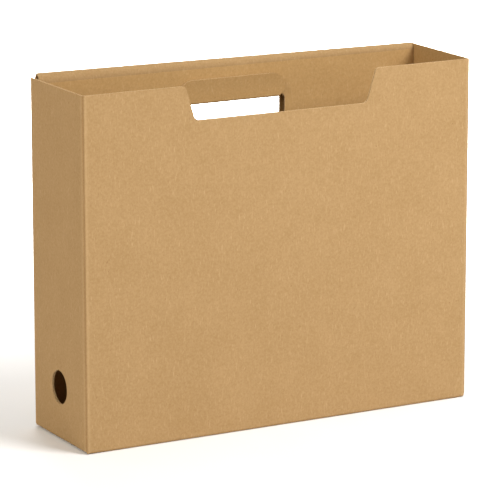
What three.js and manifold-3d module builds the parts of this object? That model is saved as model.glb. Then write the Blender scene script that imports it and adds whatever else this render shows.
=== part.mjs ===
// Magazine file holder folded from one die-cut sheet of corrugated board.
// Millimetres, +Z up. The origin is the centre of the footprint, on the surface the holder stands on.
// +X runs along the long walls, from the end with the finger hole; -Y is the front, with the low notch.
// Every panel of the sheet between two creases is one closed solid. Panels that stay folded meet on a
// 45 degree mitre with a rounded outside, and the two panels of the hand-hole flap meet square, so that
// they can turn.
import * as THREE from 'three';
import { mergeVertices } from 'three/addons/utils/BufferGeometryUtils.js';
import Module from 'manifold-3d';

// Driving dimensions
const LENGTH = 320;
const DEPTH = 86;
const HEIGHT = 260;
const BOARD = 1.6; // thickness of the corrugated board
const CREASE_RADIUS = 2.4; // outer radius of every crease that stays folded
const GAP = 0.3; // clearance between panels that touch

// Front notch
const NOTCH_DEPTH = 25.4;
const NOTCH_TOP_HALF = 78.6; // half width where its sides would meet the top edge
const NOTCH_BOTTOM_HALF = 71;
const NOTCH_TOP_RADIUS = 3.5;
const NOTCH_BOTTOM_RADIUS = 5;

// Finger hole in the left end
const FINGER_HOLE_RADIUS = 12.5;
const FINGER_HOLE_HEIGHT = 40;

// Hollow back: the back wall rolls over at the top and comes down again as a lining
const BACK_THICKNESS = 8.5;
const ROLL_INSET = 4; // from the outside of the left end wall to the open end of the roll
const ROLL_TOP_LEFT = 263.5;
const ROLL_TOP_RIGHT = 260.5;
const LINING_HEIGHT = 100;
const LINING_CORNER_RADIUS = 8;

// Hand hole and its flap
const HAND_HALF_WIDTH = 45.5;
const HAND_CREASE_HEIGHT = 231.6;
const HAND_CREASE_HALF = 41; // the flap is creased over this half width only
const HAND_TOP_RADIUS = 4.5;
const FLAP_END_RADIUS = 12;
const LEAF_HEIGHT = 16.8;
const FLAP_CLEARANCE = 0.4;
const LINING_HOLE_MARGIN = 0.5;

// Bottom and glued joint
const CLIMB_RUN = 3.6; // over which an end's bottom flap climbs onto the long ones
const END_FLAP_REACH = 72;
const END_FLAP_TAPER = 6;
const END_FLAP_CORNER_RADIUS = 4;
const HOOK_REACH = 11; // how far each long bottom flap passes the middle where the two hook together
const HOOK_SLANT = 14;
const HOOK_SIDE_SLOPE = 0.25; // how much the free side of a long bottom flap narrows per mm of reach
const GLUE_CORNER_REACH = 40;
const TAB_WIDTH = 30;
const TAB_TAPER = 14;

// Derived places
const HALF_LENGTH = LENGTH / 2;
const HALF_DEPTH = DEPTH / 2;
const BACK_INNER_Y = HALF_DEPTH - BOARD;
const LINING_INNER_Y = HALF_DEPTH - BACK_THICKNESS;
const LEAF_HINGE_Y = LINING_INNER_Y - GAP;
const BRIDGE_LENGTH = BACK_INNER_Y - LEAF_HINGE_Y;
const HAND_TOP = HAND_CREASE_HEIGHT + GAP / 2;
const HAND_BOTTOM = HAND_CREASE_HEIGHT - BRIDGE_LENGTH - LEAF_HEIGHT - FLAP_CLEARANCE;
const END_FOOT = GAP; // height of the end walls' feet
const LONG_FLAP_INSET = CREASE_RADIUS + CLIMB_RUN + GAP; // clears the climb of the end's bottom flaps
const ROLL_LEFT = -HALF_LENGTH + ROLL_INSET;
const ROLL_RIGHT = HALF_LENGTH - BOARD - GAP; // against the right end wall
const ROLL_LENGTH = ROLL_RIGHT - ROLL_LEFT;
const ROLL_RADIUS = BACK_THICKNESS / 2;
const ARC_STEPS = 4;
const HOLE_STEPS = 12;
const SHEET = 2 * (LENGTH + HEIGHT); // wider than any panel

const kraft = { outside: 0xc79f6b, inside: 0xbd935c, bottom: 0xb78d58 };

const wasm = await Module();
wasm.setup();

// A closed geometry as a solid, with its shared corners merged
function solid(geometry) {
  const bare = geometry.clone();
  bare.deleteAttribute('normal');
  bare.deleteAttribute('uv');
  const merged = mergeVertices(bare);
  const mesh = new wasm.Mesh({
    numProp: 3,
    vertProperties: Float32Array.from(merged.attributes.position.array),
    triVerts: Uint32Array.from(merged.index.array),
  });
  return new wasm.Manifold(mesh);
}

function geometryOf(body) {
  const mesh = body.getMesh();
  const geometry = new THREE.BufferGeometry();
  geometry.setAttribute('position', new THREE.BufferAttribute(mesh.vertProperties, 3));
  geometry.setIndex(new THREE.BufferAttribute(mesh.triVerts, 1));
  geometry.computeVertexNormals();
  return geometry;
}

function extrude(shape, depth, steps = ARC_STEPS) {
  return new THREE.ExtrudeGeometry(shape, { depth, bevelEnabled: false, curveSegments: steps });
}

function polygon(points) {
  const shape = new THREE.Shape();
  points.forEach(([x, y], i) => (i === 0 ? shape.moveTo(x, y) : shape.lineTo(x, y)));
  shape.closePath();
  return shape;
}

// A closed outline from corners [x, y, radius], with each corner rounded by its radius
function roundedOutline(corners) {
  const shape = new THREE.Shape();
  corners.forEach(([x, y, radius = 0], i) => {
    const here = new THREE.Vector2(x, y);
    const [beforeX, beforeY] = corners.at(i - 1);
    const [afterX, afterY] = corners[(i + 1) % corners.length];
    const before = new THREE.Vector2(beforeX, beforeY).sub(here).normalize();
    const after = new THREE.Vector2(afterX, afterY).sub(here).normalize();
    const half = before.angleTo(after) / 2;
    const cut = radius / Math.tan(half);
    const start = here.clone().addScaledVector(before, cut);
    if (i === 0) shape.moveTo(start.x, start.y);
    else shape.lineTo(start.x, start.y);
    if (radius > 0) {
      const inward = before.clone().add(after).normalize();
      const centre = here.clone().addScaledVector(inward, radius / Math.sin(half));
      const from = start.clone().sub(centre).angle();
      const to = here.clone().addScaledVector(after, cut).sub(centre).angle();
      shape.absarc(centre.x, centre.y, radius, from, to, before.cross(after) > 0);
    }
  });
  shape.closePath();
  return shape;
}

// Section of a board from 0 to length, outer face on 0, inner face on BOARD. A creased end is mitred and
// rounded on the outside, and a cut end is square. A board that climbs rises by climb past its first crease.
function boardSection(length, startCreased, endCreased, climb = 0) {
  const mitre = BOARD + (GAP / 2) * Math.SQRT2;
  const bend = CREASE_RADIUS;
  const slack = GAP / 2 / bend;
  const shape = new THREE.Shape();
  shape.moveTo(endCreased ? length - mitre : length, BOARD + climb);
  if (climb > 0) {
    shape.lineTo(bend + CLIMB_RUN, BOARD + climb);
    shape.lineTo(bend, BOARD);
  }
  shape.lineTo(startCreased ? mitre : 0, BOARD);
  if (startCreased) shape.absarc(bend, bend, bend, 1.25 * Math.PI + slack, 1.5 * Math.PI, false);
  else shape.lineTo(0, 0);
  if (climb > 0) shape.lineTo(bend + CLIMB_RUN, climb);
  if (endCreased) shape.absarc(length - bend, bend, bend, 1.5 * Math.PI, 1.75 * Math.PI - slack, false);
  else shape.lineTo(length, climb);
  shape.closePath();
  return shape;
}

// A wide sheet with the given section up z, cut to an outline in x and z
function cutSheet(section, outline) {
  const side = extrude(section, SHEET);
  side.rotateY(-Math.PI / 2);
  side.translate(SHEET / 2, 0, 0);
  const face = extrude(outline, 5 * BOARD);
  face.rotateX(Math.PI / 2);
  face.translate(0, 4 * BOARD, 0);
  return solid(face).intersect(solid(side));
}

// A flat panel, outer face on y = 0 and inner face on y = BOARD, seen from outside with x to the right and
// z up. creases says which of its sides are folded. An outline may stop short of width and height.
function panel(width, height, creases, outline) {
  const plan = extrude(boardSection(width, creases.left, creases.right), SHEET);
  plan.translate(0, 0, -SHEET / 2);
  const whole = polygon([[0, 0], [width, 0], [width, height], [0, height]]);
  return cutSheet(boardSection(height, creases.bottom, creases.top), outline ?? whole).intersect(solid(plan));
}

// A through hole in a panel: its outline in the panel's own x and z
function pierce(body, outline) {
  const cutter = extrude(outline, 4 * BOARD, HOLE_STEPS);
  cutter.rotateX(Math.PI / 2);
  cutter.translate(0, 3 * BOARD, 0);
  return body.subtract(solid(cutter));
}

function board(name, geometry, color) {
  const material = new THREE.MeshStandardMaterial({ color, roughness: 0.85, metalness: 0 });
  const mesh = new THREE.Mesh(geometry, material);
  mesh.name = name;
  return mesh;
}

// Height of the roll's top edge at x, which falls a little from left to right
function rollTop(x) {
  const along = (x - ROLL_LEFT) / ROLL_LENGTH;
  return ROLL_TOP_LEFT + (ROLL_TOP_RIGHT - ROLL_TOP_LEFT) * along;
}

// Where a back panel stops below the roll
function backTop(x) {
  return rollTop(x) - ROLL_RADIUS - GAP;
}

function frontWall() {
  const middle = HALF_LENGTH;
  const floor = HEIGHT - NOTCH_DEPTH;
  const outline = roundedOutline([
    [0, 0],
    [LENGTH, 0],
    [LENGTH, HEIGHT],
    [middle + NOTCH_TOP_HALF, HEIGHT, NOTCH_TOP_RADIUS],
    [middle + NOTCH_BOTTOM_HALF, floor, NOTCH_BOTTOM_RADIUS],
    [middle - NOTCH_BOTTOM_HALF, floor, NOTCH_BOTTOM_RADIUS],
    [middle - NOTCH_TOP_HALF, HEIGHT, NOTCH_TOP_RADIUS],
    [0, HEIGHT],
  ]);
  const body = panel(LENGTH, HEIGHT, { left: true, right: true, bottom: true, top: false }, outline);
  const mesh = board('front_wall', geometryOf(body), kraft.outside);
  mesh.position.set(-HALF_LENGTH, -HALF_DEPTH, 0);
  return mesh;
}

// An end wall, creased to both long walls and to its bottom flap
function endWall(name, width, creases, holeAcross) {
  let body = panel(width, HEIGHT - END_FOOT, creases);
  if (holeAcross !== undefined) {
    const hole = new THREE.Shape();
    hole.absarc(holeAcross, FINGER_HOLE_HEIGHT - END_FOOT, FINGER_HOLE_RADIUS, 0, 2 * Math.PI);
    body = pierce(body, hole);
  }
  return board(name, geometryOf(body), kraft.outside);
}

function leftEndWall() {
  const creases = { left: true, right: true, bottom: true, top: false };
  const mesh = endWall('left_end_wall', DEPTH, creases, HALF_DEPTH);
  mesh.rotation.z = -Math.PI / 2;
  mesh.position.set(-HALF_LENGTH, HALF_DEPTH, END_FOOT);
  return mesh;
}

// The right end stops inside the back wall, where it is creased to the glue tab
function rightEndWall() {
  const creases = { left: true, right: true, bottom: true, top: false };
  const mesh = endWall('right_end_wall', DEPTH - BOARD - GAP, creases);
  mesh.rotation.z = Math.PI / 2;
  mesh.position.set(HALF_LENGTH, -HALF_DEPTH, END_FOOT);
  return mesh;
}

// The hand hole as cut in the back wall, round its lower end like the flap that came out of it
function handHole(middle, margin) {
  const half = HAND_HALF_WIDTH + margin;
  return roundedOutline([
    [middle - half, HAND_BOTTOM - margin, FLAP_END_RADIUS + margin],
    [middle + half, HAND_BOTTOM - margin, FLAP_END_RADIUS + margin],
    [middle + half, HAND_TOP + margin, HAND_TOP_RADIUS],
    [middle - half, HAND_TOP + margin, HAND_TOP_RADIUS],
  ]);
}

// The back wall, seen from behind: its left is at +X, where its cut edge laps the glue tab
function backWall() {
  const outline = polygon([[0, 0], [LENGTH, 0], [LENGTH, backTop(-HALF_LENGTH)], [0, backTop(HALF_LENGTH)]]);
  const body = panel(LENGTH, HEIGHT, { left: false, right: true, bottom: true, top: false }, outline);
  const pierced = pierce(body, handHole(HALF_LENGTH, 0));
  const mesh = board('back_wall', geometryOf(pierced), kraft.outside);
  mesh.rotation.z = Math.PI;
  mesh.position.set(HALF_LENGTH, HALF_DEPTH, 0);
  return mesh;
}

// The half-round strip over the top of the hollow back
function backTopRoll() {
  const ring = new THREE.Shape();
  ring.absarc(0, 0, ROLL_RADIUS, 0, Math.PI, false);
  ring.absarc(0, 0, ROLL_RADIUS - BOARD, Math.PI, 0, true);
  ring.closePath();
  const geometry = extrude(ring, ROLL_LENGTH, HOLE_STEPS);
  geometry.rotateX(Math.PI / 2);
  geometry.rotateZ(Math.PI / 2);
  geometry.translate(ROLL_LEFT, 0, 0);
  const points = geometry.attributes.position;
  for (let i = 0; i < points.count; i += 1) {
    points.setZ(i, points.getZ(i) + rollTop(points.getX(i)) - ROLL_RADIUS);
  }
  const mesh = board('back_top_roll', geometry, kraft.outside);
  mesh.position.y = HALF_DEPTH - ROLL_RADIUS;
  return mesh;
}

// The lining inside the back wall, down from the roll, with a hole behind the hand hole
function backLining() {
  const low = backTop(0) - LINING_HEIGHT;
  const outline = roundedOutline([
    [ROLL_LEFT, low, LINING_CORNER_RADIUS],
    [ROLL_RIGHT, low, LINING_CORNER_RADIUS],
    [ROLL_RIGHT, backTop(ROLL_RIGHT)],
    [ROLL_LEFT, backTop(ROLL_LEFT)],
  ]);
  const face = extrude(outline, BOARD);
  face.rotateX(Math.PI / 2);
  face.translate(0, BOARD, 0);
  const pierced = pierce(solid(face), handHole(0, LINING_HOLE_MARGIN));
  const mesh = board('back_lining', geometryOf(pierced), kraft.inside);
  mesh.position.y = LINING_INNER_Y;
  return mesh;
}

// The first panel of the hand-hole flap, creased to the back wall, crossing the hollow to the lining
function flapBridge() {
  const geometry = new THREE.BoxGeometry(2 * HAND_CREASE_HALF, BRIDGE_LENGTH - GAP, BOARD);
  const mesh = board('hand_flap_bridge', geometry, kraft.inside);
  mesh.position.set(0, BACK_INNER_Y - BRIDGE_LENGTH / 2, HAND_CREASE_HEIGHT - BOARD / 2);
  return mesh;
}

// The second panel of the flap, turned up against the lining, round at its free end
function flapLeaf() {
  const half = HAND_HALF_WIDTH - FLAP_CLEARANCE;
  const outline = roundedOutline([
    [-HAND_CREASE_HALF, GAP / 2],
    [HAND_CREASE_HALF, GAP / 2],
    [half, half - HAND_CREASE_HALF],
    [half, LEAF_HEIGHT, FLAP_END_RADIUS],
    [-half, LEAF_HEIGHT, FLAP_END_RADIUS],
    [-half, half - HAND_CREASE_HALF],
  ]);
  const geometry = extrude(outline, BOARD, 2 * ARC_STEPS);
  geometry.rotateX(Math.PI / 2);
  const mesh = board('hand_flap_leaf', geometry, kraft.inside);
  mesh.position.set(0, LEAF_HINGE_Y, HAND_CREASE_HEIGHT);
  return mesh;
}

// The tab of the right end wall, glued inside the back wall, tapered at both ends
function glueTab() {
  const low = 2 * BOARD + 3 * GAP;
  const high = backTop(HALF_LENGTH) - BOARD;
  const outline = polygon([
    [0, low],
    [TAB_WIDTH, low + TAB_TAPER],
    [TAB_WIDTH, high - TAB_TAPER],
    [0, high],
  ]);
  const body = panel(TAB_WIDTH, HEIGHT, { left: true, right: false, bottom: false, top: false }, outline);
  const mesh = board('glue_tab', geometryOf(body), kraft.inside);
  mesh.rotation.z = Math.PI;
  mesh.position.set(HALF_LENGTH, BACK_INNER_Y - GAP, 0);
  return mesh;
}

// Places a bottom panel, built standing like a wall, flat under a wall: its crease along that wall's foot,
// its outer face down at the given height
function layFlat(mesh, turn, x, y, z) {
  const group = new THREE.Group();
  mesh.rotation.x = Math.PI / 2;
  group.add(mesh);
  group.rotation.z = turn;
  group.position.set(x, y, z);
  return group;
}

// The long bottom flaps hook together: each passes the middle on its own half, with a slanted step between.
// Their glue corners, outside the diagonal crease, are panels of their own.
function longBottomFlap(name) {
  const inset = LONG_FLAP_INSET;
  const middle = HALF_LENGTH;
  const shallow = HALF_DEPTH - HOOK_REACH - GAP / 2;
  const deep = HALF_DEPTH + HOOK_REACH - GAP / 2;
  const diagonal = GLUE_CORNER_REACH;
  const outline = polygon([
    [inset, 0],
    [LENGTH - inset, 0],
    [LENGTH - inset - shallow * HOOK_SIDE_SLOPE, shallow],
    [middle + HOOK_SLANT, shallow],
    [middle - HOOK_SLANT - 3 * GAP, deep],
    [diagonal + HOOK_REACH, deep],
    [diagonal + GAP, diagonal],
    [inset, inset - GAP],
  ]);
  return board(name, geometryOf(cutSheet(boardSection(DEPTH, true, false), outline)), kraft.bottom);
}

// The corner outside the diagonal crease of a long bottom flap, glued under the end flap
function glueCorner(name) {
  const inset = LONG_FLAP_INSET;
  const reach = GLUE_CORNER_REACH;
  const outline = polygon([[inset, inset + GAP], [reach, reach + GAP], [inset, reach + GAP]]);
  const geometry = extrude(outline, BOARD);
  geometry.rotateX(Math.PI / 2);
  geometry.translate(0, BOARD, 0);
  return board(name, geometry, kraft.bottom);
}

// A short bottom flap, from the foot of an end wall up onto the long ones
function endBottomFlap(name) {
  const width = DEPTH - 2 * BOARD - 4 * GAP;
  const outline = roundedOutline([
    [0, 0],
    [width, 0],
    [width - END_FLAP_TAPER, END_FLAP_REACH, END_FLAP_CORNER_RADIUS],
    [END_FLAP_TAPER, END_FLAP_REACH, END_FLAP_CORNER_RADIUS],
  ]);
  const section = boardSection(DEPTH, true, false, BOARD);
  return board(name, geometryOf(cutSheet(section, outline)), kraft.bottom);
}

function bottomPanels() {
  const short = HALF_DEPTH - BOARD - 2 * GAP;
  return [
    layFlat(longBottomFlap('front_bottom_flap'), Math.PI, HALF_LENGTH, -HALF_DEPTH, 0),
    layFlat(glueCorner('front_glue_corner'), Math.PI, HALF_LENGTH, -HALF_DEPTH, 0),
    layFlat(longBottomFlap('back_bottom_flap'), 0, -HALF_LENGTH, HALF_DEPTH, 0),
    layFlat(glueCorner('back_glue_corner'), 0, -HALF_LENGTH, HALF_DEPTH, 0),
    layFlat(endBottomFlap('left_bottom_flap'), Math.PI / 2, -HALF_LENGTH, -short, END_FOOT),
    layFlat(endBottomFlap('right_bottom_flap'), -Math.PI / 2, HALF_LENGTH, short, END_FOOT),
  ];
}

const holder = new THREE.Group();
holder.add(frontWall());
holder.add(leftEndWall());
holder.add(rightEndWall());
holder.add(backWall());
holder.add(backTopRoll());
holder.add(backLining());
holder.add(flapBridge());
holder.add(flapLeaf());
holder.add(glueTab());
bottomPanels().forEach((group) => holder.add(group));

export default holder;
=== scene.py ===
import math
from collections import defaultdict

import bmesh
import bpy
from mathutils import Euler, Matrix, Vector


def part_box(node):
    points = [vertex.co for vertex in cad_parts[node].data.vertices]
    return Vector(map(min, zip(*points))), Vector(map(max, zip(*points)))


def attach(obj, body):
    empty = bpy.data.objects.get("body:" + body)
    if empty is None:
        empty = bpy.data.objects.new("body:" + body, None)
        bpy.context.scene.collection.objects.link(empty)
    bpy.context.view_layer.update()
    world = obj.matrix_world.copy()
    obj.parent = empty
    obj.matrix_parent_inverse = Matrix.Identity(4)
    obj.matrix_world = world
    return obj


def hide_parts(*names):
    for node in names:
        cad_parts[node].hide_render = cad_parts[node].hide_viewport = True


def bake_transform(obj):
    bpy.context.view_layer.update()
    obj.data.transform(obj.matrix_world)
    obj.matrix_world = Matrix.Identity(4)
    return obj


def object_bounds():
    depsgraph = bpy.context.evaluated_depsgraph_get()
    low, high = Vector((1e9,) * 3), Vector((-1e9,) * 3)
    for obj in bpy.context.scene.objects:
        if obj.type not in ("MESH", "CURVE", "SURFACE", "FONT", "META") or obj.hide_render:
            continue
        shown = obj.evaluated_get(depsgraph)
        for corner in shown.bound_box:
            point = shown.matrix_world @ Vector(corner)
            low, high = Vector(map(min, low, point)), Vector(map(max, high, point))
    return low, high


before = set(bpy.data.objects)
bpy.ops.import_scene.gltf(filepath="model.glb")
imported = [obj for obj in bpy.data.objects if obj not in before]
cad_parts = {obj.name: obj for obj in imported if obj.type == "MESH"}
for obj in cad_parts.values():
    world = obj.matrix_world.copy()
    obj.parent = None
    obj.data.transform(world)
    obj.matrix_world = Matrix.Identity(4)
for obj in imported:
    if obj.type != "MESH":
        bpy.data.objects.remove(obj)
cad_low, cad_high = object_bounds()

MM = 0.001

# Board
BOARD = 1.6 * MM
LINER = 0.36 * MM
MEDIUM = 0.32 * MM
MEDIUM_CLEARANCE = 0.01 * MM
CUT = 3  # material number of the cut edges, after outer liner, inner liner and medium
FLUTE_PITCH = 3.2 * MM
FLUTE_STEPS = 8
CREASE_STEPS = 6
ARC_STEPS = 12
ROLL_STEPS = 18
SHARP_ANGLE = math.radians(40)
CORNER_DIGITS = 8  # decimal places, in metres, to which corners are rounded so that cells share them
HEIGHT_DIGITS = 9
NEAR_DIGITS = 5  # a cut that agrees with a corner to this many places is left out
ROW_SLACK = 1e-6  # starts the flap's rows this much early, so that rounding can't drop the last one
MITRE = math.pi / 4
SEAM = 0.01 * MM  # half the space between two panels at a crease
CREASE_RADIUS = 2.4 * MM
CREASE_REACH = 3 * CREASE_RADIUS  # fine columns beside an upright crease, as far as the painted highlight goes
GROOVE_DEPTH = 0.35 * MM  # dent that the scoring leaves along an upright crease
GROOVE_WIDTH = 0.5 * MM
CREASE_HIGHLIGHT_PLACE = 1.9 * MM  # painted highlight, a pale band on each side of the dent
CREASE_HIGHLIGHT_WIDTH = 1.1 * MM
GUARD = 0.4 * MM  # row beside a bend that keeps its shading off the flat board

# Outline sizes that the boxes of the CAD nodes don't give
NOTCH_DEPTH = 25.4 * MM
NOTCH_TOP_HALF = 78.6 * MM
NOTCH_BOTTOM_HALF = 71 * MM
NOTCH_TOP_RADIUS = 3.5 * MM
NOTCH_BOTTOM_RADIUS = 5 * MM
FINGER_HOLE_RADIUS = 12.5 * MM
FINGER_HOLE_HEIGHT = 40 * MM
HAND_HALF_WIDTH = 45.5 * MM
HAND_HEIGHT = 24.55 * MM
HAND_TOP_RADIUS = 4.5 * MM
FLAP_END_RADIUS = 12 * MM
FLAP_LEAN = 1.1 * MM  # how far the flap's free edge stands off the lining
LINING_HOLE_MARGIN = 0.5 * MM
LINING_CORNER_RADIUS = 8 * MM
TAB_TAPER = 14 * MM
END_FLAP_TAPER = 6 * MM
END_FLAP_RADIUS = 4 * MM
HOOK_REACH = 11 * MM
HOOK_SLANT = 14 * MM
HOOK_SIDE_SLOPE = 0.25
GLUE_CORNER_REACH = 40 * MM
CLEARANCE = 0.3 * MM
HOOK_CLEARANCE = 3 * CLEARANCE

# Camera
CAMERA_PLACE = Vector((-1.1372, -2.0555, 0.6707))
CAMERA_YAW = math.radians(28.89)
CAMERA_PITCH = math.radians(13.11)
CAMERA_LENS = 235.1
CAMERA_SENSOR = 36.0

# Studio
FLOOR_REACH = 14.0
ROOM_LIGHT = 0.34
FILL_COLOUR = (1.0, 0.92, 0.78)
BACKDROP_SPREAD = math.radians(80)  # the backdrop lamp shines straight down on the floor behind the box

# Places that the CAD gives
X0, Y0, Z0 = cad_low
X1, Y1, _ = cad_high
LENGTH = X1 - X0
DEPTH = Y1 - Y0
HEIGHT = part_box("front_wall")[1].z
END_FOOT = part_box("left_end_wall")[0].z
ROLL_LOW, ROLL_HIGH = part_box("back_top_roll")
LINING_LOW, LINING_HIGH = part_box("back_lining")
BRIDGE_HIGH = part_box("hand_flap_bridge")[1]
LEAF_LOW, LEAF_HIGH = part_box("hand_flap_leaf")
TAB_LOW, TAB_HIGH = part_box("glue_tab")
CREASED_EDGE = CREASE_RADIUS * (1 - MITRE) + SEAM  # where the outer face of a panel meets its neighbour
LONG_FLAP_INSET = X1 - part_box("front_glue_corner")[1].x
CLIMB_RUN = LONG_FLAP_INSET - CREASE_RADIUS - CLEARANCE  # the end flaps climb onto the long ones over this

X_AXIS = Vector((1, 0, 0))
Y_AXIS = Vector((0, 1, 0))
Z_AXIS = Vector((0, 0, 1))


# ---------------------------------------------------------------- outlines


def rounded(corners):
    """A closed outline from corners (u, v) or (u, v, radius), with each rounded corner as an arc."""
    points = []
    for i, (u, v, *radius) in enumerate(corners):
        if not radius:
            points.append((u, v))
            continue
        here = Vector((u, v))
        before = (Vector(corners[i - 1][:2]) - here).normalized()
        after = (Vector(corners[(i + 1) % len(corners)][:2]) - here).normalized()
        half = before.angle(after) / 2
        centre = here + (before + after).normalized() * (radius[0] / math.sin(half))
        start = here + before * (radius[0] / math.tan(half)) - centre
        end = here + after * (radius[0] / math.tan(half)) - centre
        first = math.atan2(start.y, start.x)
        sweep = (math.atan2(end.y, end.x) - first + math.pi) % (2 * math.pi) - math.pi
        for step in range(ARC_STEPS + 1):
            turn = first + sweep * step / ARC_STEPS
            points.append((centre.x + radius[0] * math.cos(turn), centre.y + radius[0] * math.sin(turn)))
    return points


def rectangle(u0, v0, u1, v1):
    return [(u0, v0), (u1, v0), (u1, v1), (u0, v1)]


def circle(u, v, radius):
    steps = 6 * ARC_STEPS
    turns = [2 * math.pi * i / steps for i in range(steps)]
    return [(u + radius * math.cos(turn), v + radius * math.sin(turn)) for turn in turns]


# ---------------------------------------------------------------- board


def height_on(line, u):
    (u0, v0), (u1, v1) = line
    return round(v0 + (v1 - v0) * (u - u0) / (u1 - u0), HEIGHT_DIGITS)


def flat_cells(loops, columns, rows):
    """The area inside the loops, cut at every column and row into faces that share their corners."""
    loops = [[(round(u, CORNER_DIGITS), round(v, CORNER_DIGITS)) for u, v in loop] for loop in loops]
    lines = [line for loop in loops for line in zip(loop, loop[1:] + loop[:1]) if line[0][0] != line[1][0]]
    corners = {u for loop in loops for u, _ in loop}
    low, high = min(corners), max(corners)
    near = {round(u, NEAR_DIGITS) for u in corners}
    clear = [cut for cut in columns if low < cut < high and round(cut, NEAR_DIGITS) not in near]
    inside = {round(cut, CORNER_DIGITS) for cut in clear}
    stops = defaultdict(set)
    bands = []
    cuts_across = sorted(corners | inside)
    for a, b in zip(cuts_across, cuts_across[1:]):
        middle = (a + b) / 2
        crossed = [ln for ln in lines if min(ln[0][0], ln[1][0]) < middle < max(ln[0][0], ln[1][0])]
        crossed.sort(key=lambda ln: height_on(ln, middle))
        for floor, ceiling in zip(crossed[::2], crossed[1::2]):
            lowest = (height_on(floor, a), height_on(floor, b))
            highest = (height_on(ceiling, a), height_on(ceiling, b))
            levels = [lowest] + [(r, r) for r in rows if max(lowest) < r < min(highest)] + [highest]
            stops[a].update(level[0] for level in levels)
            stops[b].update(level[1] for level in levels)
            bands += [(a, b, under, over) for under, over in zip(levels, levels[1:])]
    cells = []
    for a, b, under, over in bands:
        left = [(a, v) for v in sorted(stops[a]) if under[0] <= v <= over[0]]
        right = [(b, v) for v in sorted(stops[b]) if under[1] <= v <= over[1]]
        cell = right + left[::-1]
        if len(cell) > 2:
            cells.append(cell)
    return cells


def closed_sheet(cells, front, back):
    """A thin closed body between two surfaces, each a function of (u, v): its corners, its faces, the cut
    faces round its rim, and each corner's u."""
    order = {}
    for cell in cells:
        for corner in cell:
            order.setdefault(corner, len(order))
    count = len(order)
    points = [front(*corner) for corner in order] + [back(*corner) for corner in order]
    faces = []
    sides = set()
    for cell in cells:
        ring = [order[corner] for corner in cell]
        faces.append(ring)
        faces.append([i + count for i in reversed(ring)])
        sides.update(zip(ring, ring[1:] + ring[:1]))
    rim = [[b, a, a + count, b + count] for a, b in sides if (b, a) not in sides]
    return points, faces, rim, [u for u, _ in order] * 2


def steps_between(low, high, step):
    return [low + i * step for i in range(1, int((high - low) / step) + 1)]


def flute_columns(loops):
    low = min(u for u, _ in loops[0])
    high = max(u for u, _ in loops[0])
    step = FLUTE_PITCH / FLUTE_STEPS
    return [i * step for i in range(math.ceil(low / step), math.floor(high / step) + 1)]


def medium_depth(u):
    swing = BOARD / 2 - LINER - MEDIUM / 2 - MEDIUM_CLEARANCE
    return BOARD / 2 + swing * math.cos(2 * math.pi * u / FLUTE_PITCH)


def board_piece(name, body, node, slot, loops, place, columns=(), rows=(), creased=None):
    """One panel of board: two liners and the medium, bent by place(u, v, depth) and standing for node.
    creased(u) is the distance from the nearest upright mitre, where the outer liner is dented, with painted
    shade in the dent and a painted highlight on each side of it.
    Panels inside the box show the inner kraft on both sides; it is painted lighter than the outer kraft as a
    stand-in for light."""
    flat = flat_cells(loops, columns, rows)
    fluted = flat_cells(loops, flute_columns(loops), rows)
    away = creased or (lambda u: LENGTH)

    def dent(u):
        return GROOVE_DEPTH * bell(away(u), GROOVE_WIDTH)

    layers = [
        (flat, lambda u, v: place(u, v, dent(u)), lambda u, v: place(u, v, LINER + dent(u))),
        (flat, lambda u, v: place(u, v, BOARD - LINER), lambda u, v: place(u, v, BOARD)),
        (
            fluted,
            lambda u, v: place(u, v, medium_depth(u) - MEDIUM / 2),
            lambda u, v: place(u, v, medium_depth(u) + MEDIUM / 2),
        ),
    ]
    build = bmesh.new()
    # Vertex weights for painted shade along the crease dent and for a painted highlight on each side of it
    crease_shade = build.verts.layers.float.new("crease_shade")
    crease_highlight = build.verts.layers.float.new("crease_highlight")
    for number, (cells, front, back) in enumerate(layers):
        points, faces, sides, across = closed_sheet(cells, front, back)
        made = [build.verts.new(point) for point in points]
        for ring in faces:
            build.faces.new([made[i] for i in ring]).material_index = number
        for ring in sides:
            build.faces.new([made[i] for i in ring]).material_index = CUT
        for corner, u in zip(made, across):
            corner[crease_shade] = bell(away(u), GROOVE_WIDTH)
            corner[crease_highlight] = bell(away(u) - CREASE_HIGHLIGHT_PLACE, CREASE_HIGHLIGHT_WIDTH)
    bmesh.ops.recalc_face_normals(build, faces=build.faces)
    for edge in build.edges:
        edge.smooth = edge.calc_face_angle(0) < SHARP_ANGLE
    for face in build.faces:
        face.smooth = True
    mesh = bpy.data.meshes.new(name)
    build.to_mesh(mesh)
    build.free()
    # Inside panels show the inner kraft, which is painted lighter to stand in for light
    skin = inner_kraft_painted_lighter if slot == "kraft_inside" else outer_kraft
    for material in (skin, inner_kraft_painted_lighter, medium_kraft, cut_kraft):
        mesh.materials.append(material)
    piece = bpy.data.objects.new(name, mesh)
    bpy.context.scene.collection.objects.link(piece)
    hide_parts(node)
    if body:
        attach(piece, body)
    return piece


def bent_rows(edge):
    """Cuts over the bend next to a creased edge, and one guard beyond it."""
    step = (CREASE_RADIUS - edge) / CREASE_STEPS
    return [edge + i * step for i in range(1, CREASE_STEPS + 1)] + [CREASE_RADIUS + GUARD]


def panel_place(origin, along, up, inward, length=0.0, left=False, right=False, bottom=False):
    """place() of a flat panel whose outer face passes through origin. Its creased sides curve inward
    round the crease, as far as the 45 degree mitre where the neighbouring panel takes over."""

    def place(u, v, depth):
        bend = CREASE_RADIUS
        radius = bend - depth
        across, level, turn, tilt = u, v, 0.0, 0.0
        if left and u < bend:
            turn = (bend - u) / bend
            across = bend - radius * math.sin(turn)
        if right and u > length - bend:
            turn = (u - length + bend) / bend
            across = length - bend + radius * math.sin(turn)
        if bottom and v < bend:
            tilt = (bend - v) / bend
            level = bend - radius * math.sin(tilt)
        deep = bend - radius * math.cos(turn) * math.cos(tilt)
        return origin + along * across + up * level + inward * deep

    return place


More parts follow.
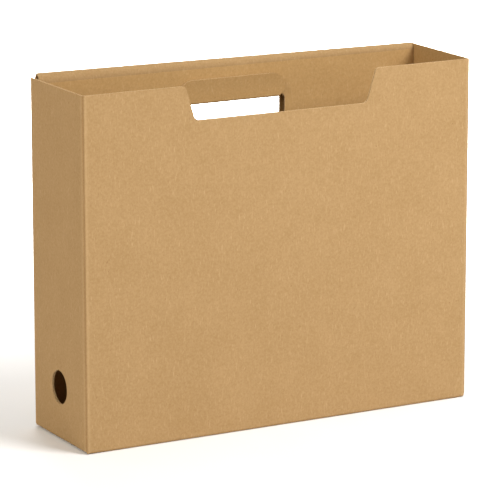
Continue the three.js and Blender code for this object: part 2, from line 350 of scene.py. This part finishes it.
def from_crease(length, left, right):
    """Distance at u from the nearest upright mitre."""

    def distance(u):
        return min(u if left else length, length - u if right else length) - CREASED_EDGE

    return distance


def bell(distance, width):
    return math.exp(-((distance / width) ** 2))


def upright_columns(length, left, right):
    near = bent_rows(CREASED_EDGE) + steps_between(CREASE_RADIUS + GUARD, CREASE_REACH, GUARD)
    return (near if left else []) + ([length - u for u in near] if right else [])


def wall(name, node, origin, along, inward, length, top_outline, holes, left, right):
    """A wall standing on its bottom crease. top_outline is its upper edge, from the right end to the left."""
    start = CREASED_EDGE if left else 0.0
    end = length - (CREASED_EDGE if right else 0.0)
    outline = rounded([(start, CREASED_EDGE), (end, CREASED_EDGE)] + top_outline(start, end))
    place = panel_place(origin, along, Z_AXIS, inward, length, left, right, bottom=True)
    return board_piece(
        name,
        "box",
        node,
        "kraft_outside",
        [outline] + holes,
        place,
        columns=upright_columns(length, left, right),
        rows=bent_rows(CREASED_EDGE),
        creased=from_crease(length, left, right),
    )


# ---------------------------------------------------------------- pieces


def front_wall():
    middle = LENGTH / 2
    floor = HEIGHT - NOTCH_DEPTH

    def top(start, end):
        return [
            (end, HEIGHT),
            (middle + NOTCH_TOP_HALF, HEIGHT, NOTCH_TOP_RADIUS),
            (middle + NOTCH_BOTTOM_HALF, floor, NOTCH_BOTTOM_RADIUS),
            (middle - NOTCH_BOTTOM_HALF, floor, NOTCH_BOTTOM_RADIUS),
            (middle - NOTCH_TOP_HALF, HEIGHT, NOTCH_TOP_RADIUS),
            (start, HEIGHT),
        ]

    corner = Vector((X0, Y0, Z0))
    wall("front_wall_board", "front_wall", corner, X_AXIS, Y_AXIS, LENGTH, top, [], True, True)


def flat_top(height):
    return lambda start, end: [(end, height), (start, height)]


def left_end_wall():
    corner = Vector((X0, Y1, END_FOOT))
    hole = circle(DEPTH / 2, FINGER_HOLE_HEIGHT - END_FOOT, FINGER_HOLE_RADIUS)
    top = flat_top(HEIGHT - END_FOOT)
    wall("left_end_board", "left_end_wall", corner, -Y_AXIS, X_AXIS, DEPTH, top, [hole], True, True)


def right_end_wall():
    corner = Vector((X1, Y0, END_FOOT))
    width = DEPTH - BOARD - CLEARANCE
    top = flat_top(HEIGHT - END_FOOT)
    wall("right_end_board", "right_end_wall", corner, Y_AXIS, -X_AXIS, width, top, [], True, True)


def hand_hole(middle, margin):
    """The hand hole, round at its lower end like the flap that came out of it."""
    top = LEAF_LOW.z + margin
    bottom = LEAF_LOW.z - HAND_HEIGHT - margin
    half = HAND_HALF_WIDTH + margin
    return rounded([
        (middle - half, bottom, FLAP_END_RADIUS + margin),
        (middle + half, bottom, FLAP_END_RADIUS + margin),
        (middle + half, top, HAND_TOP_RADIUS),
        (middle - half, top, HAND_TOP_RADIUS),
    ])


def back_wall():
    corner = Vector((X1, Y1, Z0))
    hole = hand_hole(LENGTH / 2, 0.0)
    top = flat_top(ROLL_LOW.z - SEAM)
    wall("back_wall_board", "back_wall", corner, -X_AXIS, -Y_AXIS, LENGTH, top, [hole], False, True)


def back_top_roll():
    """The strip over the hollow back. It stands higher at the left, so its arch is taller there."""
    half_width = (ROLL_HIGH.y - ROLL_LOW.y) / 2
    middle_y = (ROLL_HIGH.y + ROLL_LOW.y) / 2
    left_rise = ROLL_HIGH.z - ROLL_LOW.z
    right_rise = half_width
    girth = math.pi * half_width

    def place(u, v, depth):
        turn = math.pi * v / girth
        along = (u - ROLL_LOW.x) / (ROLL_HIGH.x - ROLL_LOW.x)
        rise = left_rise + (right_rise - left_rise) * along
        y = middle_y + (half_width - depth) * math.cos(turn)
        return Vector((u, y, ROLL_LOW.z + (rise - depth) * math.sin(turn)))

    outline = rectangle(ROLL_LOW.x, 0.0, ROLL_HIGH.x, girth)
    rows = steps_between(0.0, girth, girth / ROLL_STEPS)[:-1]
    board_piece("back_top_roll_board", "box", "back_top_roll", "kraft_outside", [outline], place, rows=rows)


def back_lining():
    low, high = LINING_LOW, LINING_HIGH
    outline = rounded([
        (low.x, low.z, LINING_CORNER_RADIUS),
        (high.x, low.z, LINING_CORNER_RADIUS),
        (high.x, ROLL_LOW.z - SEAM),
        (low.x, ROLL_LOW.z - SEAM),
    ])
    place = panel_place(Vector((0, low.y, 0)), X_AXIS, Z_AXIS, Y_AXIS)
    loops = [outline, hand_hole(0.0, LINING_HOLE_MARGIN)]
    board_piece("back_lining_board", "box", "back_lining", "kraft_inside", loops, place)


def hand_flap():
    """The hand-hole flap in one strip: across the hollow, round its bend, and up against the lining."""
    bend_y = LEAF_HIGH.y
    bend_z = BRIDGE_HIGH.z
    bridge = BRIDGE_HIGH.y - bend_y
    bend_end = bridge + BOARD * math.pi / 2
    leaf = LEAF_HIGH.z - bend_z

    def place(u, v, depth):
        radius = BOARD - depth
        if v < bridge:
            return Vector((u, BRIDGE_HIGH.y - v, bend_z - radius))
        if v < bend_end:
            turn = (v - bridge) / BOARD
            return Vector((u, bend_y - radius * math.sin(turn), bend_z - radius * math.cos(turn)))
        up = v - bend_end
        lean = FLAP_LEAN * (up / leaf) ** 2
        return Vector((u, bend_y - radius - lean, bend_z + up))

    narrow = BRIDGE_HIGH.x
    wide = LEAF_HIGH.x
    outline = rounded([
        (-narrow, 0.0),
        (narrow, 0.0),
        (narrow, bend_end),
        (wide, bend_end + wide - narrow),
        (wide, bend_end + leaf, FLAP_END_RADIUS),
        (-wide, bend_end + leaf, FLAP_END_RADIUS),
        (-wide, bend_end + wide - narrow),
        (-narrow, bend_end),
    ])
    bend_step = (bend_end - bridge) / ARC_STEPS
    rows = [bridge - GUARD] + steps_between(bridge - ROW_SLACK, bend_end, bend_step)
    rows += [bend_end + GUARD] + steps_between(bend_end + GUARD, bend_end + leaf, leaf / ARC_STEPS)
    loops = [outline]
    piece = board_piece("hand_flap_board", None, "hand_flap_leaf", "kraft_inside", loops, place, rows=rows)
    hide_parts("hand_flap_bridge")
    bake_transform(piece)


def glue_tab():
    width = X1 - TAB_LOW.x
    low = TAB_LOW.z - CREASED_EDGE
    outline = [
        (CREASED_EDGE, low),
        (width, low + TAB_TAPER),
        (width, TAB_HIGH.z - TAB_TAPER),
        (CREASED_EDGE, TAB_HIGH.z),
    ]
    place = panel_place(Vector((X1, TAB_HIGH.y, 0)), -X_AXIS, Z_AXIS, -Y_AXIS, width, left=True)
    board_piece(
        "glue_tab_board",
        "box",
        "glue_tab",
        "kraft_inside",
        [outline],
        place,
        columns=upright_columns(width, True, False),
        creased=from_crease(width, True, False),
    )


def long_bottom_panels(side, corner, along, up):
    """One long bottom flap with its half of the hooked seam, and its glue corner."""
    inset = LONG_FLAP_INSET
    middle = LENGTH / 2
    shallow = DEPTH / 2 - HOOK_REACH - CLEARANCE / 2
    deep = DEPTH / 2 + HOOK_REACH - CLEARANCE / 2
    reach = GLUE_CORNER_REACH
    flap = [
        (inset, CREASED_EDGE),
        (LENGTH - inset, CREASED_EDGE),
        (LENGTH - inset - shallow * HOOK_SIDE_SLOPE, shallow),
        (middle + HOOK_SLANT, shallow),
        (middle - HOOK_SLANT - HOOK_CLEARANCE, deep),
        (reach + HOOK_REACH, deep),
        (reach + CLEARANCE, reach),
        (inset, inset - CLEARANCE),
    ]
    place = panel_place(corner, along, up, Z_AXIS, bottom=True)
    rows = bent_rows(CREASED_EDGE)
    node = f"{side}_bottom_flap"
    board_piece(f"{side}_bottom_board", "box", node, "kraft_bottom", [flap], place, rows=rows)
    triangle = [(inset, inset + CLEARANCE), (reach, reach + CLEARANCE), (inset, reach + CLEARANCE)]
    place = panel_place(corner, along, up, Z_AXIS)
    board_piece(f"{side}_glue_board", "box", f"{side}_glue_corner", "kraft_bottom", [triangle], place)


def end_bottom_panel(side, x, along, up):
    low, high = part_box(f"{side}_bottom_flap")
    width = high.y - low.y
    reach = max(abs(high.x - x), abs(low.x - x))
    slope = END_FLAP_TAPER / reach
    outline = rounded([
        (CREASED_EDGE * slope, CREASED_EDGE),
        (width - CREASED_EDGE * slope, CREASED_EDGE),
        (width - END_FLAP_TAPER, reach, END_FLAP_RADIUS),
        (END_FLAP_TAPER, reach, END_FLAP_RADIUS),
    ])
    start_y = low.y if along.y > 0 else high.y
    flat = panel_place(Vector((x, start_y, END_FOOT)), along, up, Z_AXIS, bottom=True)

    def place(u, v, depth):
        climbed = min(max((v - CREASE_RADIUS) / CLIMB_RUN, 0.0), 1.0)
        return flat(u, v, depth) + Z_AXIS * BOARD * climbed * climbed * (3 - 2 * climbed)

    rows = bent_rows(CREASED_EDGE)
    rows += steps_between(CREASE_RADIUS + GUARD, CREASE_RADIUS + CLIMB_RUN + GUARD, GUARD)
    node = f"{side}_bottom_flap"
    board_piece(f"{side}_bottom_board", "box", node, "kraft_bottom", [outline], place, rows=rows)


def bottom():
    long_bottom_panels("front", Vector((X1, Y0, Z0)), -X_AXIS, Y_AXIS)
    long_bottom_panels("back", Vector((X0, Y1, Z0)), X_AXIS, -Y_AXIS)
    end_bottom_panel("left", X0, Y_AXIS, X_AXIS)
    end_bottom_panel("right", X1, -Y_AXIS, -X_AXIS)


# ---------------------------------------------------------------- materials


# Sockets of the mix node that carry colours; its other sockets have the same names
MIX_FIRST = 6
MIX_SECOND = 7
MIX_RESULT = 2


class Shader:
    """Builds one material's node tree."""

    def __init__(self, name):
        self.material = bpy.data.materials.new(name)
        self.material.use_nodes = True
        self.tree = self.material.node_tree
        self.surface = self.tree.nodes["Principled BSDF"]

    def node(self, kind, **settings):
        made = self.tree.nodes.new(kind)
        for key, value in settings.items():
            setattr(made, key, value)
        return made

    def link(self, source, target):
        self.tree.links.new(source, target)

    def coordinates(self, turn=(0, 0, 0), scale=(1, 1, 1)):
        where = self.node("ShaderNodeTexCoord")
        mapping = self.node("ShaderNodeMapping")
        mapping.inputs["Rotation"].default_value = turn
        mapping.inputs["Scale"].default_value = scale
        self.link(where.outputs["Object"], mapping.inputs["Vector"])
        return mapping.outputs["Vector"]

    def noise(self, scale, detail=2.0, rough=0.5, turn=(0, 0, 0), stretch=(1, 1, 1)):
        made = self.node("ShaderNodeTexNoise")
        made.inputs["Scale"].default_value = scale
        made.inputs["Detail"].default_value = detail
        made.inputs["Roughness"].default_value = rough
        self.link(self.coordinates(turn, stretch), made.inputs["Vector"])
        return made.outputs["Fac"]

    def attribute(self, name):
        return self.node("ShaderNodeAttribute", attribute_name=name).outputs["Fac"]

    def remap(self, value, low, high, to_low=0.0, to_high=1.0):
        made = self.node("ShaderNodeMapRange")
        made.inputs["From Min"].default_value = low
        made.inputs["From Max"].default_value = high
        made.inputs["To Min"].default_value = to_low
        made.inputs["To Max"].default_value = to_high
        self.link(value, made.inputs["Value"])
        return made.outputs["Result"]

    def math(self, operation, first, second):
        made = self.node("ShaderNodeMath", operation=operation)
        self.link(first, made.inputs[0])
        if isinstance(second, float):
            made.inputs[1].default_value = second
        else:
            self.link(second, made.inputs[1])
        return made.outputs["Value"]

    def mix(self, share, first, second):
        made = self.node("ShaderNodeMix", data_type="RGBA")
        self.link(share, made.inputs["Factor"])
        for place, colour in ((MIX_FIRST, first), (MIX_SECOND, second)):
            if isinstance(colour, tuple):
                made.inputs[place].default_value = (*colour, 1.0)
            else:
                self.link(colour, made.inputs[place])
        return made.outputs[MIX_RESULT]

    def bump(self, height, distance, strength, after=None):
        made = self.node("ShaderNodeBump")
        made.inputs["Distance"].default_value = distance
        made.inputs["Strength"].default_value = strength
        self.link(height, made.inputs["Height"])
        if after is not None:
            self.link(after, made.inputs["Normal"])
        return made.outputs["Normal"]


def kraft(name, light, dark, fibre_and_crease_highlight, speck_and_crease_shade, washboard):
    """Kraft paper: cloudy pulp, fine fibres lying every way, a few dark specks, and the faint ribs of the
    flutes under it. Light and dark are the two ends of the pulp's colour."""
    shader = Shader(name)
    clouds = shader.noise(38.0, detail=3.0, rough=0.55)
    pulp = shader.noise(620.0, detail=4.0, rough=0.65)
    grain = shader.noise(2600.0, detail=2.0, rough=0.6)
    fibres = [
        shader.noise(900.0, detail=1.0, turn=(0.3, angle, angle), stretch=(1, 1, 0.2))
        for angle in (0.2, 0.9, 1.5, 2.3)
    ]
    strands = fibres[0]
    for layer in fibres[1:]:
        strands = shader.math("MAXIMUM", strands, layer)
    tone = shader.math("ADD", shader.math("MULTIPLY", clouds, 0.22), shader.math("MULTIPLY", pulp, 0.78))
    colour = shader.mix(shader.remap(tone, 0.32, 0.68), dark, light)
    colour = shader.mix(shader.remap(strands, 0.66, 0.82, 0.0, 0.45), colour, fibre_and_crease_highlight)
    flecks = shader.noise(1100.0, detail=0.0, turn=(0.9, 0.4, 0.2), stretch=(1, 1, 0.5))
    colour = shader.mix(shader.remap(flecks, 0.82, 0.88, 0.0, 0.5), colour, speck_and_crease_shade)
    # Painted shade along the crease dent, and a painted highlight on each side of it
    colour = shader.mix(shader.remap(shader.attribute("crease_shade"), 0.0, 1.0, 0.0, 0.4), colour, speck_and_crease_shade)
    colour = shader.mix(shader.remap(shader.attribute("crease_highlight"), 0.0, 1.0, 0.0, 0.25), colour, fibre_and_crease_highlight)
    shader.link(colour, shader.surface.inputs["Base Color"])
    ribs = shader.node("ShaderNodeTexWave", wave_type="BANDS", bands_direction="DIAGONAL")
    ribs.inputs["Scale"].default_value = math.pi / 10 / FLUTE_PITCH
    shader.link(shader.coordinates(scale=(2.0, 2.0, 0.0)), ribs.inputs["Vector"])
    normal = shader.bump(ribs.outputs["Fac"], washboard, 1.0)
    surface = shader.math("ADD", shader.math("MULTIPLY", strands, 0.6), shader.math("MULTIPLY", grain, 0.4))
    normal = shader.bump(surface, 0.05 * MM, 0.5, normal)
    normal = shader.bump(pulp, 0.08 * MM, 0.25, normal)
    shader.link(normal, shader.surface.inputs["Normal"])
    shader.link(shader.remap(grain, 0.3, 0.7, 0.82, 0.94), shader.surface.inputs["Roughness"])
    shader.surface.inputs["Specular IOR Level"].default_value = 0.25
    return shader.material


def floor_material():
    shader = Shader("floor_paper")
    pulp = shader.noise(9.0, detail=2.0)
    colour = shader.mix(shader.remap(pulp, 0.3, 0.7), (0.9, 0.9, 0.9), (0.93, 0.93, 0.93))
    shader.link(colour, shader.surface.inputs["Base Color"])
    shader.surface.inputs["Roughness"].default_value = 0.9
    shader.surface.inputs["Specular IOR Level"].default_value = 0.1
    return shader.material


# ---------------------------------------------------------------- studio


def area_light(name, direction, distance, size, power, colour=(1, 1, 1)):
    """A square soft light that shines on the middle of the box from a direction."""
    middle = (cad_low + cad_high) / 2
    lamp = bpy.data.lights.new(name, "AREA")
    lamp.shape = "SQUARE"
    lamp.size = size
    lamp.energy = power
    lamp.color = colour
    holder = bpy.data.objects.new(name, lamp)
    towards = Vector(direction).normalized()
    holder.location = middle + towards * distance
    holder.rotation_euler = (-towards).to_track_quat("-Z", "Y").to_euler()
    bpy.context.scene.collection.objects.link(holder)
    return holder


def studio():
    mesh = bpy.data.meshes.new("floor")
    corners = [(x, y, Z0) for x, y in rectangle(-FLOOR_REACH, -FLOOR_REACH, FLOOR_REACH, FLOOR_REACH)]
    mesh.from_pydata(corners, [], [list(range(len(corners)))])
    mesh.materials.append(floor_material())
    floor = bpy.data.objects.new("floor", mesh)
    bpy.context.scene.collection.objects.link(floor)
    world = bpy.data.worlds.new("studio")
    world.use_nodes = True
    background = world.node_tree.nodes["Background"]
    background.inputs["Color"].default_value = (1.0, 1.0, 1.0, 1.0)
    background.inputs["Strength"].default_value = ROOM_LIGHT
    bpy.context.scene.world = world
    bpy.context.scene.view_settings.view_transform = "Standard"
    area_light("key", (0.45, -0.75, 0.7), distance=1.7, size=0.8, power=29.0)
    area_light("fill", (-1.0, -0.35, 0.6), distance=3.0, size=2.0, power=50.0, colour=FILL_COLOUR)
    backdrop = area_light("backdrop", (0.45, 0.8, 0.7), distance=2.6, size=2.0, power=120.0)
    backdrop.rotation_euler = (0.0, 0.0, 0.0)
    backdrop.data.spread = BACKDROP_SPREAD


def camera():
    data = bpy.data.cameras.new("camera")
    data.sensor_width = CAMERA_SENSOR
    data.lens = CAMERA_LENS
    data.clip_end = 100.0
    made = bpy.data.objects.new("camera", data)
    made.location = CAMERA_PLACE
    made.rotation_euler = Euler((math.pi / 2 - CAMERA_PITCH, 0.0, -CAMERA_YAW))
    bpy.context.scene.collection.objects.link(made)
    bpy.context.scene.camera = made


camera()
outer_kraft = kraft(
    "kraft_outer",
    light=(0.4, 0.252, 0.115),
    dark=(0.325, 0.197, 0.08),
    fibre_and_crease_highlight=(0.52, 0.35, 0.185),
    speck_and_crease_shade=(0.2, 0.1, 0.035),
    washboard=0.003 * MM,
)
# The same paper as the outer kraft, painted lighter: painted light for the lining, the flap and the inner
# faces, which get less light inside the box
inner_kraft_painted_lighter = kraft(
    "kraft_inner_painted_lighter",
    light=(0.475, 0.292, 0.119),
    dark=(0.39, 0.23, 0.085),
    fibre_and_crease_highlight=(0.56, 0.37, 0.185),
    speck_and_crease_shade=(0.22, 0.11, 0.035),
    washboard=0.006 * MM,
)
medium_kraft = kraft(
    "kraft_medium",
    light=(0.38, 0.222, 0.095),
    dark=(0.31, 0.176, 0.07),
    fibre_and_crease_highlight=(0.43, 0.27, 0.13),
    speck_and_crease_shade=(0.15, 0.07, 0.025),
    washboard=0.0,
)
cut_kraft = kraft(
    "kraft_cut_edge",
    light=(0.72, 0.5, 0.27),
    dark=(0.58, 0.38, 0.18),
    fibre_and_crease_highlight=(0.8, 0.6, 0.38),
    speck_and_crease_shade=(0.4, 0.24, 0.11),
    washboard=0.0,
)
front_wall()
left_end_wall()
right_end_wall()
back_wall()
back_top_roll()
back_lining()
hand_flap()
glue_tab()
bottom()
studio()
